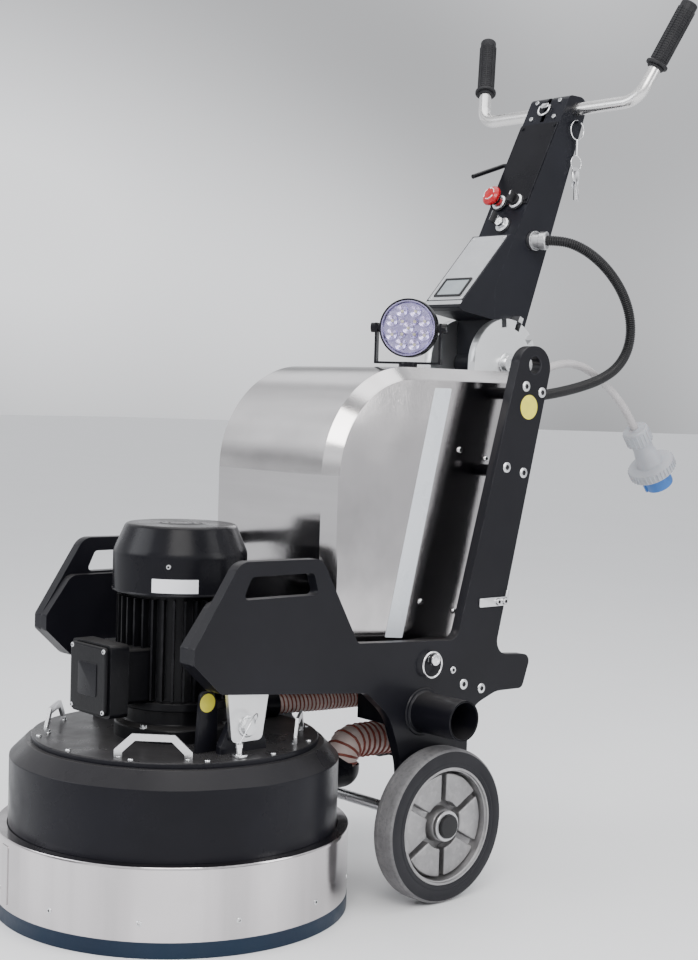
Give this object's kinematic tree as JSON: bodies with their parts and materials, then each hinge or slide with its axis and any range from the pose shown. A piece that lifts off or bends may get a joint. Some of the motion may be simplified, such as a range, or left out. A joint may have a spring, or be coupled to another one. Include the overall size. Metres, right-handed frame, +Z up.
{
  "type": "walk-behind planetary floor grinder",
  "caption": "Walk-behind concrete floor grinder: skirted planetary grinding head under an upright motor, fork frame on two wheels, sheet cabinet and folding control column.",
  "frame": {"origin": "on the floor, under the middle of the machine's overall box (without the hanging mains cord and its plug)", "axes": "+Z up, -Y towards the grinding head at the front, +Y towards the operator, +X to the machine's left side, where the dust outlet is"},
  "size_m": [0.6306, 1.4516, 1.6348],
  "materials": {
    "frame_black": "satin black powder coat",
    "stainless_sheet": "polished stainless sheet",
    "drive_electronics": "matt",
    "zinc_screws": "bright zinc",
    "quadrant_aluminium": "light satin",
    "suction_hose": "clear hose with a red-brown helix",
    "cord_grey": "light grey jacket",
    "plug_grey": "light grey",
    "plug_blue": "blue",
    "black_plastic": "matt black",
    "lamp_black": "black cast body",
    "lamp_glass": "clear",
    "motor_black": "black painted casting",
    "motor_box": "black painted",
    "black_rubber": "matt black",
    "cast_grey": "machined",
    "machined_steel": "machined",
    "skirt_rubber": "dark navy rubber",
    "tyre": "solid rubber, worn",
    "rim_aluminium": "cast",
    "bezel_plastic": "light grey",
    "estop_red": "gloss red",
    "bright_metal": "bright"
  },
  "bodies": {
    "chassis": {"side_plate_left": "frame_black", "side_plate_right": "frame_black", "inner_plates": "frame_black", "cross_members": "frame_black", "hood_skin": "stainless_sheet", "cabinet_panels": "stainless_sheet", "inverter": "drive_electronics", "frame_fasteners": "zinc_screws", "quadrant_plates": "quadrant_aluminium", "axle": "zinc_screws", "dust_manifold": "frame_black", "suction_hoses": "suction_hose", "hanger_plates": "stainless_sheet", "mains_cord": "cord_grey", "plug_body": "plug_grey", "plug_shroud": "plug_blue", "cabinet_glands": "black_plastic", "conduit": "black_plastic"},
    "lamp_yoke": {"lamp_bracket": "frame_black"},
    "lamp": {"lamp_housing": "lamp_black", "lamp_lens": "lamp_glass"},
    "head": {"drum_shell": "frame_black", "deck_plate": "frame_black", "gearbox_housing": "frame_black", "motor_frame": "motor_black", "motor_cowl": "frame_black", "terminal_box": "motor_box", "deck_handles": "stainless_sheet", "pivot_lugs": "frame_black", "hose_ports": "black_rubber", "fixed_pulley": "cast_grey"},
    "rotor": {"motor_rotor": "zinc_screws"},
    "carrier": {"carrier": "cast_grey", "disc_belts": "black_rubber"},
    "disc_1": {"disc_spindle_1": "machined_steel", "grinding_disc_1": "machined_steel"},
    "disc_2": {"disc_spindle_2": "machined_steel", "grinding_disc_2": "machined_steel"},
    "disc_3": {"disc_spindle_3": "machined_steel", "grinding_disc_3": "machined_steel"},
    "shroud": {"shroud_band": "stainless_sheet", "shroud_skirt": "skirt_rubber"},
    "wheel_left": {"tyre_left": "tyre", "rim_left": "rim_aluminium"},
    "wheel_right": {"tyre_right": "tyre", "rim_right": "rim_aluminium"},
    "column": {"column_shell": "frame_black", "column_cover": "frame_black", "console_box": "frame_black", "conduit_gland": "bright_metal", "switch_bezels": "bezel_plastic"},
    "handle": {"handlebar": "stainless_sheet", "handlebar_grips": "black_rubber"},
    "estop": {"estop_button": "estop_red"},
    "selector": {"selector_knob": "black_plastic"},
    "key": {"switch_key": "bright_metal"},
    "lock": {"lock_bar": "zinc_screws"},
    "lever": {"lock_lever": "frame_black"},
    "keys": {"key_ring": "bright_metal"},
    "pin_left": {"ring_pin_left": "bright_metal"}
  },
  "joints": [
    {"name": "wheel_left_spin", "type": "hinge", "parent": "chassis", "child": "wheel_left", "pos_m": [0.24625, 0.0205, 0.1326], "axis": [1, 0, 0], "continuous": true},
    {"name": "wheel_right_spin", "type": "hinge", "parent": "chassis", "child": "wheel_right", "pos_m": [-0.28575, 0.0205, 0.1326], "axis": [1, 0, 0], "continuous": true},
    {"name": "head_tilt", "type": "hinge", "parent": "chassis", "child": "head", "pos_m": [-0.01975, -0.3435, 0.329], "axis": [1, 0, 0], "range_deg": [-4, 4], "deforming": ["suction_hoses"]},
    {"name": "shroud_float", "type": "slide", "parent": "head", "child": "shroud", "axis": [0, 0, 1], "range_m": [0, 0.015]},
    {"name": "carrier_spin", "type": "hinge", "parent": "head", "child": "carrier", "pos_m": [-0.01975, -0.3435, 0.08], "axis": [0, 0, 1], "continuous": true},
    {"name": "rotor_spin", "type": "hinge", "parent": "head", "child": "rotor", "pos_m": [-0.01975, -0.3435, 0.44], "axis": [0, 0, 1], "continuous": true},
    {"name": "disc_1_spin", "type": "hinge", "parent": "carrier", "child": "disc_1", "pos_m": [-0.01975, -0.2005, 0.05], "axis": [0, 0, 1], "continuous": true},
    {"name": "disc_2_spin", "type": "hinge", "parent": "carrier", "child": "disc_2", "pos_m": [-0.14359, -0.415, 0.05], "axis": [0, 0, 1], "continuous": true},
    {"name": "disc_3_spin", "type": "hinge", "parent": "carrier", "child": "disc_3", "pos_m": [0.10409, -0.415, 0.05], "axis": [0, 0, 1], "continuous": true},
    {"name": "column_tilt", "type": "hinge", "parent": "chassis", "child": "column", "pos_m": [-0.01975, 0.3595, 0.93], "axis": [-1, 0, 0], "range_deg": [-29, 29], "deforming": ["conduit"]},
    {"name": "handlebar_tilt", "type": "hinge", "parent": "column", "child": "handle", "pos_m": [-0.01975, 0.5545, 1.441], "axis": [1, 0, 0], "range_deg": [-60, 60]},
    {"name": "estop_press", "type": "slide", "parent": "column", "child": "estop", "axis": [0, 0.8962, -0.4436], "range_m": [0, 0.004], "stiffness_N_per_m": 900, "springref_m": -0.002},
    {"name": "selector_turn", "type": "hinge", "parent": "column", "child": "selector", "pos_m": [0.00225, 0.42527, 1.246], "axis": [0, -0.8962, 0.4436], "range_deg": [-45, 45]},
    {"name": "key_turn", "type": "hinge", "parent": "column", "child": "key", "pos_m": [-0.01175, 0.4025, 1.2], "axis": [0, -0.8962, 0.4436], "range_deg": [-90, 0]},
    {"name": "lock_slide", "type": "slide", "parent": "column", "child": "lock", "axis": [0, 0.3746, 0.9272], "range_m": [-0.016, 0]},
    {"name": "lever_squeeze", "type": "hinge", "parent": "column", "child": "lever", "pos_m": [-0.07775, 0.4725, 1.33], "axis": [-1, 0, 0], "range_deg": [-29, 0]},
    {"name": "lamp_pan", "type": "hinge", "parent": "chassis", "child": "lamp_yoke", "pos_m": [0.01862, 0.12902, 0.915], "axis": [0, 0, 1], "range_deg": [-90, 90]},
    {"name": "lamp_tilt", "type": "hinge", "parent": "lamp_yoke", "child": "lamp", "pos_m": [0.01862, 0.12902, 0.987], "axis": [0.8387, 0.5446, 0], "range_deg": [-20, 30]},
    {"name": "ring_pin_pull", "type": "slide", "parent": "chassis", "child": "pin_left", "axis": [1, 0, 0], "range_m": [0, 0.045]},
    {"name": "key_ring_swing", "type": "hinge", "parent": "column", "child": "keys", "pos_m": [0.03725, 0.5525, 1.415], "axis": [1, 0, 0], "range_deg": [-60, 60]}
  ],
  "couplings": [
    {"joint": "rotor_spin", "follows": "carrier_spin", "ratio": 11},
    {"joint": "disc_1_spin", "follows": "carrier_spin", "ratio": -1.5},
    {"joint": "disc_2_spin", "follows": "carrier_spin", "ratio": -1.5},
    {"joint": "disc_3_spin", "follows": "carrier_spin", "ratio": -1.5},
    {"joint": "lever_squeeze", "follows": "lock_slide", "rad_per_m": 31}
  ]
}
